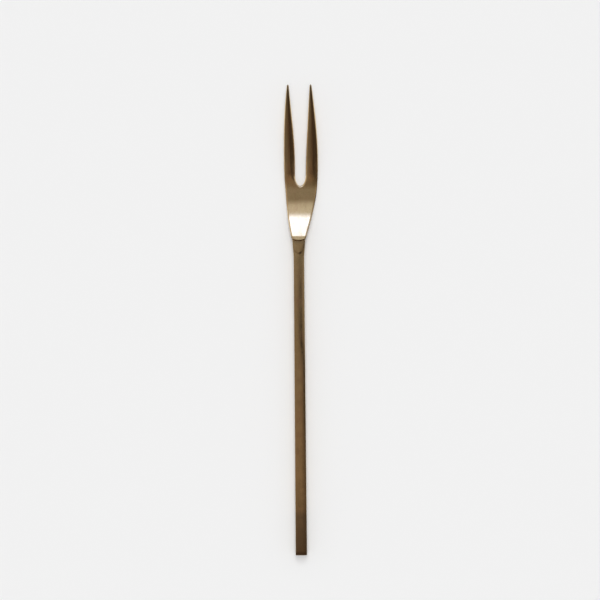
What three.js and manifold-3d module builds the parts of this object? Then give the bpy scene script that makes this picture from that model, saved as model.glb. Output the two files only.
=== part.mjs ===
// A two-tined fruit fork in brass. A flat forked head, dished at its palm and curved up along its
// tines, laps its tail into a scarf seat cut in the end of a square bar, and a film of braze joins
// the two. Millimetres, +Z up. The fork lies on its back on z = 0 with its tines towards +Y, and
// the origin is on the axis of the bar, under the handle, half way along the fork.
import * as THREE from "three";
import { mergeVertices } from "three/addons/utils/BufferGeometryUtils.js";
import Module from "manifold-3d";

const wasm = await Module();
wasm.setup();

const { degToRad, lerp, smoothstep, clamp } = THREE.MathUtils;

// Lengths along the fork
const handleLength = 97; // butt to the tail end of the head
const palmLength = 17.1; // tail end to the root of the slot
const tineLength = 30.9; // slot root to the tips

// Handle bar
const buttWidth = 3.5;
const buttHeight = 3.5;
const neckWidth = 3.25; // just behind the flare
const neckHeight = 3.3;
const arrisRadius = 0.5; // rounding of the bar's four long edges
const arrisLimit = 0.9; // most of the bar's half width that the rounding takes
const buttBevel = 0.25; // bevel round the butt end
const flareLength = 5.5; // stretch over which the bar widens to the tail

// Lap joint
const lapLength = 7; // tongue of bar left under the tail
const tongueRound = 3.5; // length of the tongue's rounded end
const brazeFilm = 0.12; // thickness of the filler in the joint
const tailClearance = 0.02; // between the end of the tail and the filler

// Head in plan
const tailWidth = 3.93;
const tailBow = 0.35; // how far the round tail end bulges towards the butt
const neckAngle = degToRad(15.6); // flare of each side where the head leaves the tail
const headWidth = 10.52; // across the tines at their widest
const widestPastRoot = 7.9; // from the slot root to that widest place
const slotWidth = 3.32; // gap between the tines next to the root
const slotRootLength = 3.6; // length of the rounded root of the slot
const tipAcross = 7.56; // over both tips, before they are rounded
const tipGap = 6.4; // between both tips, before they are rounded
const outerTipAngle = degToRad(7.7); // lean of the outer edges at the tips
const innerTipAngle = degToRad(4.3); // lean of the inner edges at the tips
const tipRound = 0.5; // length over which each tip is rounded
const tipFlat = 0.1; // width left at each point
const headSet = 0.86; // sideways set of the hand-formed head from the bar's axis
const tipReturn = 0.35; // how far the tines lean back towards that axis
const slotSet = 0.25; // sideways set of the slot in the head, at its root
const slotSetFade = 20; // stretch of the tines over which that set dies out

// Head in profile
const palmSlope = degToRad(11.5); // fall of the palm from the neck
const dipLength = 6; // curved stretch where that fall levels out
const tineLift = degToRad(7.5); // rise of the tines where they leave the palm
const liftLength = 5; // curved stretch over which that rise comes in
const liftBehindRoot = 1.2; // where that stretch starts, behind the slot root
const tineRadius = 350; // slighter upward curve from there to the tips
const tailThickness = 1.45;
const palmThickness = 1.5;
const tipThickness = 0.8;
const tailLand = 1; // flatter land on the tail, in front of its round end
const tailLandDrop = 0.15; // how far that land falls away at the tail end
const tineCrown = 0.32; // how much higher a tine is along its middle than at its edges
const crownFade = 8.4; // stretch past the slot root over which the crown comes in
const edgeRound = 0.45; // width of the filed rounding along the upper edges
const underRound = 0.3; // the same along the lower edges
const edgeAngle = degToRad(40); // slope that the rounding ends at
const tailAngle = degToRad(28); // slope that it ends at round the tail
const edgeRoundLimit = 0.45; // most of the thickness that the upper rounding takes
const edgeShare = 0.2; // most of a half's width that it takes on each side
const underRoundLimit = 0.33; // most of the thickness that the lower rounding takes
const edgeLeft = 0.4; // least of the thickness that is left at an edge

// Finish
const brassColour = 0xa98a5c;
const brazeColour = 0xb49a68;
const brassRoughness = 0.28;
const brazeRoughness = 0.4;

// How finely the curves are cut into facets
const cornerSteps = 4;
const flareSteps = 7;
const tongueSteps = 9;
const arcSteps = 48;
const acrossSteps = 11;
const landSteps = 5;
const lapSteps = 6;
const dipSteps = 7;
const levelSteps = 3;
const rimSteps = 4;
const slotRootSteps = 9;
const tineSteps = 21;
const tipSteps = 4;
const edgeSamples = 160;
const slotRootSamples = 40;

// Stations along the fork, measured from the butt
const tailAt = handleLength;
const landEnd = tailAt + tailBow + tailLand;
const lapEnd = tailAt + lapLength;
const dipEnd = lapEnd + dipLength;
const rootAt = tailAt + palmLength;
const slotStraight = rootAt + slotRootLength;
const widestAt = rootAt + widestPastRoot;
const tipAt = rootAt + tineLength;
const liftAt = rootAt - liftBehindRoot;
const flareAt = tailAt - flareLength;
const overallLength = tipAt;

const palmGrade = Math.tan(palmSlope);
const tineGrade = Math.tan(tineLift);
const tailRadius = ((tailWidth / 2) ** 2 + tailBow ** 2) / (2 * tailBow);

// A cubic that runs from value a to value b between two stations, with the slopes given there.
function ease(y, from, to, a, b, slopeA = 0, slopeB = 0) {
  const u = clamp((y - from) / (to - from), 0, 1);
  const v = 1 - u;
  const bend = (to - from) * u * v * (slopeA * v - slopeB * u);
  return a * v * v * (1 + 2 * u) + b * u * u * (1 + 2 * v) + bend;
}

// Quarter of an ellipse: 0 at the start of a rounded end, 1 once it is past.
const roundEnd = (fromEnd, length) => {
  const t = clamp(1 - fromEnd / length, 0, 1);
  return Math.sqrt(1 - t * t);
};

// Material lost to a rounded edge at a distance inside it, down to an angle at the edge itself.
const edgeLoss = (distance, width, angle) => {
  const within = Math.max(0, width - distance);
  return within > 0 ? (Math.tan(angle) * within * within) / (2 * width) : 0;
};

// Height gained over a run that starts level and takes up a grade along a curve.
const climb = (run, grade, curve) =>
  run < curve ? (grade * run * run) / (2 * curve) : grade * (run - curve / 2);

// Head, half widths in plan
function outerEdge(y) {
  if (y < widestAt) {
    return ease(y, tailAt, widestAt, tailWidth / 2, headWidth / 2, Math.tan(neckAngle), 0);
  }
  return ease(y, widestAt, tipAt, headWidth / 2, tipAcross / 2, 0, -Math.tan(outerTipAngle));
}

function innerEdge(y) {
  if (y <= rootAt) return 0;
  if (y < slotStraight) return (slotWidth / 2) * roundEnd(y - rootAt, slotRootLength);
  return ease(y, slotStraight, tipAt, slotWidth / 2, tipGap / 2, 0, Math.tan(innerTipAngle));
}

// Inner and outer edge of one half of the head, brought together at the rounded tip.
function halfSpan(y) {
  const inner = innerEdge(y);
  const outer = outerEdge(y);
  if (y < tipAt - tipRound) return [inner, outer];
  const middle = (inner + outer) / 2;
  const half = Math.max(tipFlat / 2, ((outer - inner) / 2) * roundEnd(tipAt - y, tipRound));
  return [middle - half, middle + half];
}

// Head, in profile
function underside(y) {
  const back = Math.max(0, dipEnd - y);
  const past = Math.max(0, y - liftAt);
  const beyond = Math.max(0, past - liftLength);
  const curl = (beyond * beyond) / (2 * tineRadius);
  return climb(back, palmGrade, dipLength) + climb(past, tineGrade, liftLength) + curl;
}

function thickness(y) {
  if (y < rootAt) return ease(y, tailAt, lapEnd, tailThickness, palmThickness);
  return lerp(palmThickness, tipThickness, (y - rootAt) / tineLength);
}

// Off the axis of the bar, at a station along the head.
const sideways = (y) =>
  headSet * smoothstep(y, tailAt, rootAt) - tipReturn * smoothstep(y, widestAt, tipAt);

// Off the middle of the head, for the edges of the slot.
const slotSideways = (y) =>
  -slotSet * smoothstep(y, lapEnd, rootAt) * (1 - smoothstep(y, rootAt, rootAt + slotSetFade));

// How far the round tail end lies ahead of its foremost point, at a distance from the axis.
function tailEnd(fromAxis) {
  const x = Math.min(fromAxis, tailWidth / 2);
  return tailRadius - Math.sqrt(tailRadius * tailRadius - x * x);
}

// Even steps from one station to the next, without the last.
const steps = (from, to, count) =>
  Array.from({ length: count }, (_, i) => lerp(from, to, i / count));

// Steps that crowd together towards the first station, without the last.
const crowdedSteps = (from, to, count) =>
  steps(0, Math.PI / 2, count).map((a) => lerp(to, from, Math.cos(a)));

function headStations() {
  const rimFrom = rootAt - edgeRound;
  const tipFrom = tipAt - tipRound;
  return [
    ...crowdedSteps(tailAt, landEnd, landSteps),
    ...steps(landEnd, lapEnd, lapSteps),
    ...steps(lapEnd, dipEnd, dipSteps),
    ...steps(dipEnd, rimFrom, levelSteps),
    ...steps(rimFrom, rootAt, rimSteps),
    ...crowdedSteps(rootAt, slotStraight, slotRootSteps),
    ...steps(slotStraight, tipFrom, tineSteps),
    ...crowdedSteps(tipAt, tipFrom, tipSteps).reverse(),
  ];
}

// Lines of the outline on one side, to measure how far a point lies inside its edge.
function outline() {
  const sampled = (from, to, edge) =>
    [...steps(from, to, edgeSamples), to].map((y) => new THREE.Vector3(edge(y), y, 0));
  const tail = [...steps(0, tailWidth / 2, acrossSteps), tailWidth / 2];
  return {
    sides: [
      sampled(tailAt + tailBow, tipAt, (y) => halfSpan(y)[1]),
      sampled(slotStraight, tipAt, (y) => halfSpan(y)[0]),
      crowdedSteps(rootAt, slotStraight, slotRootSamples).map(
        (y) => new THREE.Vector3(innerEdge(y), y, 0),
      ),
    ],
    tail: tail.map((x) => new THREE.Vector3(x, tailAt + tailEnd(x), 0)),
  };
}

function distanceTo(line, point) {
  const nearest = new THREE.Vector3();
  let least = Infinity;
  for (let i = 1; i < line.length; i++) {
    new THREE.Line3(line[i - 1], line[i]).closestPointToPoint(point, true, nearest);
    least = Math.min(least, nearest.distanceTo(point));
  }
  return least;
}

// One half of the head as rows of points across it, inner edge first, above and below. The fourth
// number of a point is how far the slot's set slides it sideways.
function headRows(edges) {
  return headStations().map((station) => {
    const [inner, outer] = halfSpan(station);
    const row = { top: [], under: [] };
    for (let i = 0; i <= acrossSteps; i++) {
      const share = (1 - Math.cos((Math.PI * i) / acrossSteps)) / 2;
      const x = lerp(inner, outer, share);
      const bow = clamp((landEnd - station) / (landEnd - tailAt), 0, 1);
      const y = station + bow * (tailEnd(x) + tailClearance);
      const place = new THREE.Vector3(x, y, 0);
      const fromSide = Math.min(...edges.sides.map((line) => distanceTo(line, place)));
      const fromTail = distanceTo(edges.tail, place);
      const low = underside(y);
      const thick = thickness(y);
      const crown = tineCrown * smoothstep(y, rootAt, rootAt + crownFade);
      const offMiddle = 2 * share - 1;
      const land = tailLandDrop * bow;
      const topRound = Math.min(edgeRound, edgeRoundLimit * thick, edgeShare * (outer - inner));
      const lowRound = Math.min(underRound, underRoundLimit * thick);
      const filed = Math.max(
        edgeLoss(fromSide, topRound, edgeAngle),
        edgeLoss(fromTail, topRound, tailAngle),
      );
      const drop = land + crown * offMiddle * offMiddle + filed;
      const lift = edgeLoss(fromSide, lowRound * smoothstep(y, lapEnd, dipEnd), edgeAngle);
      const top = low + Math.max(thick - drop, edgeLeft * thick);
      const slide = slotSideways(y) * (1 - share);
      row.top.push(new THREE.Vector4(x, y, top, slide));
      row.under.push(new THREE.Vector4(x, y, low + lift, slide));
    }
    return row;
  });
}

// The head as one closed surface: both faces, the outer and slot walls, the tail end and the tips.
function headGeometry() {
  const rows = headRows(outline());
  const rootRow = headStations().findIndex((y) => y >= rootAt);
  const corners = [];
  const addPoint = (point, side) =>
    corners.push(side * point.x + sideways(point.y) + point.w, point.y, point.z);
  const addQuad = (side, a, b, c, d) => {
    const ring = side > 0 ? [a, b, c, a, c, d] : [a, c, b, a, d, c];
    ring.forEach((point) => addPoint(point, side));
  };
  for (const side of [1, -1]) {
    rows.slice(1).forEach((next, j) => {
      const { top, under } = rows[j];
      for (let i = 0; i < acrossSteps; i++) {
        addQuad(side, top[i], top[i + 1], next.top[i + 1], next.top[i]);
        addQuad(side, under[i + 1], under[i], next.under[i], next.under[i + 1]);
      }
      addQuad(side, under.at(-1), next.under.at(-1), next.top.at(-1), top.at(-1));
      if (j >= rootRow) addQuad(side, next.under[0], under[0], top[0], next.top[0]);
    });
    const tail = rows[0];
    const tip = rows.at(-1);
    for (let i = 0; i < acrossSteps; i++) {
      addQuad(side, tail.under[i], tail.under[i + 1], tail.top[i + 1], tail.top[i]);
      addQuad(side, tip.under[i + 1], tip.under[i], tip.top[i], tip.top[i + 1]);
    }
  }
  const geometry = new THREE.BufferGeometry();
  geometry.setAttribute("position", new THREE.Float32BufferAttribute(corners, 3));
  return mergeVertices(geometry);
}

// A rounded rectangle across the bar, standing on the height low.
function barRing(y, half, low, high, radius) {
  const corner = (x, z, turn) =>
    [...steps(0, Math.PI / 2, cornerSteps), Math.PI / 2].map((a) => {
      const angle = a + turn;
      return new THREE.Vector3(x + radius * Math.cos(angle), y, z + radius * Math.sin(angle));
    });
  return [
    ...corner(half - radius, high - radius, 0),
    ...corner(radius - half, high - radius, Math.PI / 2),
    ...corner(radius - half, low + radius, Math.PI),
    ...corner(half - radius, low + radius, (3 * Math.PI) / 2),
  ];
}

function barHalfWidth(y) {
  if (y < flareAt) return lerp(buttWidth, neckWidth, y / flareAt) / 2;
  if (y < tailAt) return ease(y, flareAt, tailAt, neckWidth / 2, tailWidth / 2);
  return (tailWidth / 2) * roundEnd(lapEnd - y, Math.min(tongueRound, lapLength));
}

const barHeight = (y) => lerp(buttHeight, neckHeight, Math.min(1, y / tailAt));

// A closed skin over a run of rings with as many points each, capped flat at both ends.
function loft(rings) {
  const count = rings[0].length;
  const middle = (ring) =>
    ring.reduce((sum, p) => sum.add(p), new THREE.Vector3()).divideScalar(count);
  const points = [...rings.flat(), middle(rings[0]), middle(rings.at(-1))];
  const faces = [];
  rings.slice(1).forEach((_, j) => {
    for (let i = 0; i < count; i++) {
      const a = j * count + i;
      const b = j * count + ((i + 1) % count);
      faces.push(a, a + count, b, b, a + count, b + count);
    }
  });
  const last = (rings.length - 1) * count;
  for (let i = 0; i < count; i++) {
    const next = (i + 1) % count;
    faces.push(points.length - 2, i, next);
    faces.push(points.length - 1, last + next, last + i);
  }
  return new THREE.BufferGeometry().setFromPoints(points).setIndex(faces);
}

// The whole bar before its seat is cut, tongue included.
function barBlank() {
  const tongueFrom = Math.max(tailAt, lapEnd - tongueRound);
  const tongueTip = crowdedSteps(lapEnd, tongueFrom, tongueSteps).reverse();
  const stations = [
    buttBevel,
    ...steps(flareAt, tailAt, flareSteps),
    tailAt,
    tongueFrom,
    ...tongueTip.slice(0, -1),
  ];
  const rings = stations.map((y) => {
    const half = barHalfWidth(y);
    return barRing(y, half, 0, barHeight(y), Math.min(arrisRadius, arrisLimit * half));
  });
  const buttHalf = buttWidth / 2 - buttBevel;
  const butt = barRing(0, buttHalf, buttBevel, buttHeight - buttBevel, arrisRadius / 2);
  return solidOf(loft([butt, ...rings]));
}

// Everything above the sloping seat and in front of its round end, grown by a margin.
function lapSpace(margin) {
  const clear = palmThickness + neckHeight;
  const seat = (y) => palmGrade * (lapEnd + dipLength / 2 - y) - margin;
  const side = new THREE.Shape();
  side.moveTo(tailAt - clear, seat(tailAt - clear));
  side.lineTo(lapEnd + clear, seat(lapEnd + clear));
  side.lineTo(lapEnd + clear, neckHeight + clear);
  side.lineTo(tailAt - clear, neckHeight + clear);
  const plan = new THREE.Shape();
  const reach = tailRadius + margin;
  plan.absarc(0, tailAt + tailRadius, reach, Math.PI, 2 * Math.PI);
  plan.lineTo(reach, lapEnd + clear);
  plan.lineTo(-reach, lapEnd + clear);
  const acrossFork = new THREE.Matrix4().makeBasis(
    new THREE.Vector3(0, 1, 0),
    new THREE.Vector3(0, 0, 1),
    new THREE.Vector3(1, 0, 0),
  );
  const options = { bevelEnabled: false, curveSegments: arcSteps };
  const above = new THREE.ExtrudeGeometry(side, { ...options, depth: 2 * reach })
    .translate(0, 0, -reach)
    .applyMatrix4(acrossFork);
  const ahead = new THREE.ExtrudeGeometry(plan, { ...options, depth: neckHeight + 2 * clear });
  return solidOf(above).intersect(solidOf(ahead.translate(0, 0, -clear)));
}

// Between three.js geometry and solids that can be cut
function solidOf(geometry) {
  const bare = geometry.clone();
  bare.deleteAttribute("normal");
  bare.deleteAttribute("uv");
  const merged = mergeVertices(bare);
  return new wasm.Manifold(
    new wasm.Mesh({
      numProp: 3,
      vertProperties: merged.attributes.position.array,
      triVerts: new Uint32Array(merged.index.array),
    }),
  );
}

function geometryOf(solid) {
  const { vertProperties, triVerts } = solid.getMesh();
  const geometry = new THREE.BufferGeometry();
  geometry.setAttribute("position", new THREE.BufferAttribute(vertProperties, 3));
  return geometry.setIndex(new THREE.BufferAttribute(triVerts, 1));
}

function metalPiece(name, geometry, color, roughness) {
  geometry.computeVertexNormals();
  const material = new THREE.MeshStandardMaterial({ color, roughness, metalness: 1 });
  const mesh = new THREE.Mesh(geometry, material);
  mesh.name = name;
  return mesh;
}

const blank = barBlank();
const seatSpace = lapSpace(brazeFilm);
const bar = blank.subtract(seatSpace);
const braze = blank.intersect(seatSpace).subtract(lapSpace(0));

const fork = new THREE.Group();
fork.add(metalPiece("fork_head", headGeometry(), brassColour, brassRoughness));
fork.add(metalPiece("handle_bar", geometryOf(bar), brassColour, brassRoughness));
fork.add(metalPiece("braze_joint", geometryOf(braze), brazeColour, brazeRoughness));
fork.position.y = -overallLength / 2;

export default fork;
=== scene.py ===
"""A slim brass fruit fork lying on a pale table.

The forked head, the square handle bar and the bead of braze that joins them are made as fine
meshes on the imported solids, each in aged, hand-polished brass. Metres, +Z up, tines towards +Y.
"""

import math

import bmesh
import bpy
import numpy as np
from bpy.props import FloatProperty, FloatVectorProperty, IntProperty, PointerProperty
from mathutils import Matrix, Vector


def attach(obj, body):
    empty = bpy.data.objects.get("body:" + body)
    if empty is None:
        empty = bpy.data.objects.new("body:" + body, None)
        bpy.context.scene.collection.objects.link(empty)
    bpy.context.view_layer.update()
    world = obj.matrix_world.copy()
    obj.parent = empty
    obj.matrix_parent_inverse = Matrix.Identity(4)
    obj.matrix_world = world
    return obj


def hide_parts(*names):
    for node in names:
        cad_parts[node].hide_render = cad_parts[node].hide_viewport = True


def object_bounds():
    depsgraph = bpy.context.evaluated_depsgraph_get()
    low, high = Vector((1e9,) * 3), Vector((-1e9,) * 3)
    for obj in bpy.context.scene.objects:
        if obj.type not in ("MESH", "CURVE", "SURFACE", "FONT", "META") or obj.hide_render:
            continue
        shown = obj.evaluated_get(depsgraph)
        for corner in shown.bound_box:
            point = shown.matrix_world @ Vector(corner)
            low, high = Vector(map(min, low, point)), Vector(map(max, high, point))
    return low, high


bl_info = {
    "name": "Brass Fruit Fork",
    "version": (1, 0, 0),
    "blender": (4, 5, 0),
    "location": "3D View > Sidebar > Fruit Fork",
    "description": "Builds a brazed brass fruit fork, its finishes and a plain stage",
    "category": "Add Mesh",
}

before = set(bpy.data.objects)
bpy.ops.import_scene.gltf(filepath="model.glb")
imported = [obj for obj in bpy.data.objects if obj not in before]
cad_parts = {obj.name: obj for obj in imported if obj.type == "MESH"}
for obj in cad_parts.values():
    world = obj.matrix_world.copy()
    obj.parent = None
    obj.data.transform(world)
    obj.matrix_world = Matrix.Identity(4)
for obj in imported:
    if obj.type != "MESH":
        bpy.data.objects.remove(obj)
cad_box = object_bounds()
butt_place = cad_box[0].y


def length(name, description, default):
    return FloatProperty(
        name=name, description=description, default=default, min=0, precision=5, unit="LENGTH"
    )


def angle(name, description, degrees):
    return FloatProperty(
        name=name, description=description, default=math.radians(degrees), subtype="ANGLE"
    )


def share(name, description, default):
    return FloatProperty(
        name=name, description=description, default=default, min=0, max=1, subtype="FACTOR"
    )


def amount(name, description, default):
    return FloatProperty(name=name, description=description, default=default, min=0)


def tint(name, description, default):
    return FloatVectorProperty(
        name=name, description=description, default=default, size=3, min=0, subtype="COLOR"
    )


def count(name, description, default):
    return IntProperty(name=name, description=description, default=default, min=1)


class FORK_PG_head(bpy.types.PropertyGroup):
    palm_length: length("Palm length", "Tail end to the root of the slot", 0.0171)
    tine_length: length("Tine length", "Slot root to the tips", 0.0309)
    tail_width: length("Tail width", "Width of the tail that laps onto the bar", 0.00393)
    tail_bow: length("Tail bow", "Bulge of the round tail end", 0.00035)
    neck_angle: angle("Neck angle", "Flare of each side where the head leaves the tail", 15.6)
    head_width: length("Head width", "Across the tines at their widest", 0.01052)
    widest_past_root: length("Widest place", "From the slot root to the widest place", 0.0079)
    slot_width: length("Slot width", "Gap between the tines next to the root", 0.00332)
    slot_root_length: length("Slot root", "Length of the rounded root of the slot", 0.0036)
    tip_across: length("Tips across", "Over both tips, before they are rounded", 0.00756)
    tip_gap: length("Tip gap", "Between both tips, before they are rounded", 0.0064)
    outer_tip_angle: angle("Outer lean", "Lean of the outer edges at the tips", 7.7)
    inner_tip_angle: angle("Inner lean", "Lean of the inner edges at the tips", 4.3)
    tip_round: length("Tip rounding", "Length over which each tip is rounded", 0.0005)
    tip_flat: length("Tip flat", "Width left at each point", 0.0001)
    head_set: length("Sideways set", "Set of the hand-formed head from the bar's axis", 0.00086)
    tip_return: length("Tip return", "How far the tines lean back to that axis", 0.00035)
    slot_set: length("Slot set", "Sideways set of the slot in the head, at its root", 0.00025)
    slot_set_fade: length("Slot set fade", "Stretch over which that set dies out", 0.02)
    palm_slope: angle("Palm slope", "Fall of the palm from the neck", 11.5)
    dip_length: length("Dip length", "Curved stretch where that fall levels out", 0.006)
    tine_lift: angle("Tine lift", "Rise of the tines where they leave the palm", 7.5)
    lift_length: length("Lift length", "Curved stretch where that rise comes in", 0.005)
    lift_behind_root: length("Lift start", "Where it starts, behind the slot root", 0.0012)
    tine_radius: length("Tine radius", "Slighter upward curve to the tips", 0.35)
    tail_thickness: length("Tail thickness", "Thickness at the tail", 0.00145)
    palm_thickness: length("Palm thickness", "Thickness at the palm", 0.0015)
    tip_thickness: length("Tip thickness", "Thickness at the tips", 0.0008)
    thinning_curve: length("Thinning curve", "Curved stretch where the tines start to thin", 0.006)
    tail_land: length("Tail land", "Flatter land in front of the round tail end", 0.001)
    tail_land_drop: length("Land drop", "How far that land falls at the tail end", 0.00015)
    tine_crown: length("Tine crown", "Rise of a tine along its middle", 0.00032)
    crown_fade: length("Crown fade", "Stretch over which the crown comes in", 0.0084)
    edge_round: length("Upper rounding", "Filed rounding along the upper edges", 0.00045)
    under_round: length("Lower rounding", "The same along the lower edges", 0.0003)
    edge_angle: angle("Edge angle", "Slope that the rounding ends at", 40.0)
    tail_angle: angle("Tail angle", "Slope that it ends at round the tail", 28.0)
    # Painted shade: the tips take the darker shade colour, for the dark room that the tines mirror
    tip_shade_length: length("Tip shade length", "Stretch at the tips that fruit has darkened", 0.009)
    palm_crown: length("Palm crown", "Rise of the palm along its middle", 0.00005)


class FORK_PG_handle(bpy.types.PropertyGroup):
    bar_length: length("Bar length", "Butt to the tail end of the head", 0.097)
    butt_width: length("Butt width", "Width at the butt", 0.0035)
    butt_height: length("Butt height", "Height at the butt", 0.0035)
    neck_width: length("Neck width", "Width just behind the flare", 0.00325)
    neck_height: length("Neck height", "Height at the neck", 0.0033)
    crown: length("Crown", "Rise of the top face along its middle", 0.00004)
    lean: angle("Lean", "Slight sideways lean of the top face towards the neck", 1.6)
    lean_start: length("Lean start", "Where that lean comes in, from the butt", 0.0565)
    lean_full: length("Lean full", "Where that lean is whole, from the butt", 0.069)
    wash_length: length("Wash length", "Braze filed out thin on the bar behind the tail", 0.0042)
    wash_depth: length("Wash depth", "Thickness of that wash", 0.000016)
    # Painted shade: the butt's last stretch takes the darker shade colour, for the dark end of the
    # room that it mirrors
    butt_shade_length: length("Butt shade length", "Stretch at the butt that handling has darkened", 0.0135)
    arris_radius: length("Arris radius", "Rounding of the long edges", 0.0005)
    butt_bevel: length("Butt rounding", "Rounding of the edge round the butt", 0.00025)
    flare_length: length("Flare length", "Stretch over which the bar widens", 0.0055)
    lap_length: length("Lap length", "Tongue of bar left under the tail", 0.007)
    tongue_round: length("Tongue rounding", "Length of the tongue's rounded end", 0.0035)
    corner_steps: count("Corner steps", "Facets in each rounded long edge", 10)


class FORK_PG_braze(bpy.types.PropertyGroup):
    film: length("Film", "Thickness of the filler in the joint", 0.00012)
    clearance: length("Clearance", "Between the end of the tail and the filler", 0.00002)
    bead_radius: length("Bead radius", "Radius of the filed bead along the seam", 0.000075)
    bead_sink: length("Bead sink", "Depth of the bead below the top of the bar", 0.00038)
    bead_unevenness: share("Unevenness", "How much the bead swells and thins", 0.3)
    bead_seed: count("Seed", "Seed of the bead's swelling", 7)


class FORK_PG_finish(bpy.types.PropertyGroup):
    polished: tint("Polished brass", "Colour of the bright metal", (0.85, 0.665, 0.41))
    tarnished: tint("Tarnished brass", "Colour of the aged film", (0.58, 0.46, 0.24))
    flushed: tint("Flushed brass", "Redder colour of that film in places", (0.7, 0.42, 0.27))
    # Colour of the painted shade, laid on the butt's end, the tips, behind the tail end and along the
    # wash's edge
    painted_shade: tint("Painted shade colour", "Colour of the handled butt", (0.52, 0.42, 0.29))
    worn: tint("Worn brass", "Colour of the rubbed edges", (0.9, 0.74, 0.5))
    filler: tint("Braze filler", "Colour of the filler metal", (0.84, 0.7, 0.46))
    roughness: share("Roughness", "Roughness of the polished faces", 0.1)
    filler_roughness: share("Filler roughness", "Roughness of the filed filler", 0.38)
    tarnish: share("Tarnish", "Cover of the aged film on the head and the bar", 0.6)
    filler_tarnish: share("Filler tarnish", "The same on the filler", 0.8)
    head_scratches: amount("Head scratches", "Scratches per metre across the head", 2600.0)
    bar_scratches: amount("Bar scratches", "The same across the bar", 2200.0)
    filler_scratches: amount("Filler scratches", "The same across the filler", 3000.0)
    line_depth: length("Line depth", "Depth of the lengthwise polishing lines", 0.0000008)
    wave_depth: length("Wave depth", "Depth of the shallow waves left by hand work", 0.00001)


class FORK_PG_stage(bpy.types.PropertyGroup):
    lens: amount("Lens", "Focal length of the camera in millimetres", 100.0)
    picture_width: length("Picture width", "Width that the picture takes in", 0.18566)
    centre_x: FloatProperty(
        name="Centre across", description="Centre of the picture", default=0.00022, unit="LENGTH"
    )
    centre_y: FloatProperty(
        name="Centre along", description="Centre of the picture", default=0.00628, unit="LENGTH"
    )
    aim_height: length("Aim height", "Height at which the picture has that width", 0.0017)
    camera_turn: angle("Camera turn", "Turn of the camera about its line of sight", -0.474)
    table: tint("Table", "Colour of the table", (0.87, 0.87, 0.87))
    table_size: length("Table size", "Side of the square table", 12.0)
    lamp_strength: amount("Lamps", "Strength of the row of overhead lamps together", 1.79)
    lamp_colour: tint("Lamp colour", "Colour of the lamps", (1.0, 1.0, 1.0))
    lamp_spread: angle("Lamp spread", "Apparent width of each lamp", 24.0)
    lamp_pitch: angle("Lamp pitch", "Angle between neighbours in the row along the fork", 24.0)
    lamp_lean: angle("Lamp lean", "Lean of the whole row towards the tines", 16.0)
    dome: tint("Dome", "Colour of the plain light from all round", (0.5, 0.5, 0.5))
    backdrop: tint("Backdrop", "What the camera sees past the table", (0.88, 0.88, 0.88))


class FORK_PG_room(bpy.types.PropertyGroup):
    """Colours of the room that the metal mirrors."""

    ceiling: tint("Ceiling", "Dim ceiling overhead", (0.2, 0.158, 0.11))
    ceiling_behind: tint("Ceiling behind", "The same further back", (0.222, 0.157, 0.106))
    behind: tint("Behind", "Dark end of the room behind the butt", (0.075, 0.048, 0.032))
    wall: tint("Wall", "Pale wall ahead, under the window", (0.58, 0.58, 0.57))
    pane: tint("Pane", "Bright window in that wall", (2.2, 2.65, 4.1))
    left: tint("Left side", "Side of the room on the left", (0.48, 0.43, 0.36))
    left_behind: tint("Left behind", "The same further back", (0.14, 0.115, 0.085))
    strip: tint("Strip", "Dark strip along the ceiling", (0.008, 0.005, 0.003))
    right: tint("Right side", "Side of the room on the right", (0.03, 0.02, 0.013))
    glow: tint("Glow", "Lit patch on that side", (0.5, 0.45, 0.37))
    floor: tint("Floor", "Lower part of the room all round", (0.3, 0.27, 0.23))
    curtain: tint("Curtain", "Pale curtains low down at both sides", (0.95, 0.97, 1.05))


class FORK_PG_fork(bpy.types.PropertyGroup):
    head: PointerProperty(type=FORK_PG_head)
    handle: PointerProperty(type=FORK_PG_handle)
    braze: PointerProperty(type=FORK_PG_braze)
    finish: PointerProperty(type=FORK_PG_finish)
    stage: PointerProperty(type=FORK_PG_stage)
    room: PointerProperty(type=FORK_PG_room)


# Curves that the outline and the profile are drawn with


def smooth(y, start, end):
    u = np.clip((y - start) / (end - start), 0, 1)
    return u * u * (3 - 2 * u)


def ease(y, start, end, a, b, slope_a=0.0, slope_b=0.0):
    """A cubic from value a to value b between two stations, with the slopes given there."""
    u = np.clip((y - start) / (end - start), 0, 1)
    v = 1 - u
    bend = (end - start) * u * v * (slope_a * v - slope_b * u)
    return a * v * v * (1 + 2 * u) + b * u * u * (1 + 2 * v) + bend


def round_end(from_end, span):
    """Quarter of an ellipse: 0 at the start of a rounded end, 1 once it is past."""
    t = np.clip(1 - from_end / span, 0, 1)
    return np.sqrt(1 - t * t)


def edge_loss(distance, width, slope):
    """Metal lost to a filed edge at a distance inside it, down to a slope at the edge itself."""
    within = np.maximum(0, width - distance)
    return slope * within**2 / (2 * np.maximum(width, 1e-9))


def climb(run, grade, curve):
    """Height gained over a run that starts level and takes up a grade along a curve."""
    return np.where(run < curve, grade * run**2 / (2 * curve), grade * (run - curve / 2))


def even(start, end, steps):
    return np.linspace(start, end, steps, endpoint=False)


def crowded(start, end, steps):
    """Stations that crowd together towards the first one, without the last."""
    return end + (start - end) * np.cos(even(0, math.pi / 2, steps))


def distance_to(line, points):
    """Distance of each point from a line of straight pieces, both flat."""
    a, b = line[:-1], line[1:]
    along = b - a
    squared = np.maximum((along**2).sum(1), 1e-18)
    gap = points[:, None] - a[None]
    t = np.clip((gap * along).sum(2) / squared, 0, 1)
    return np.linalg.norm(gap - t[..., None] * along, axis=2).min(1)


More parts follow.
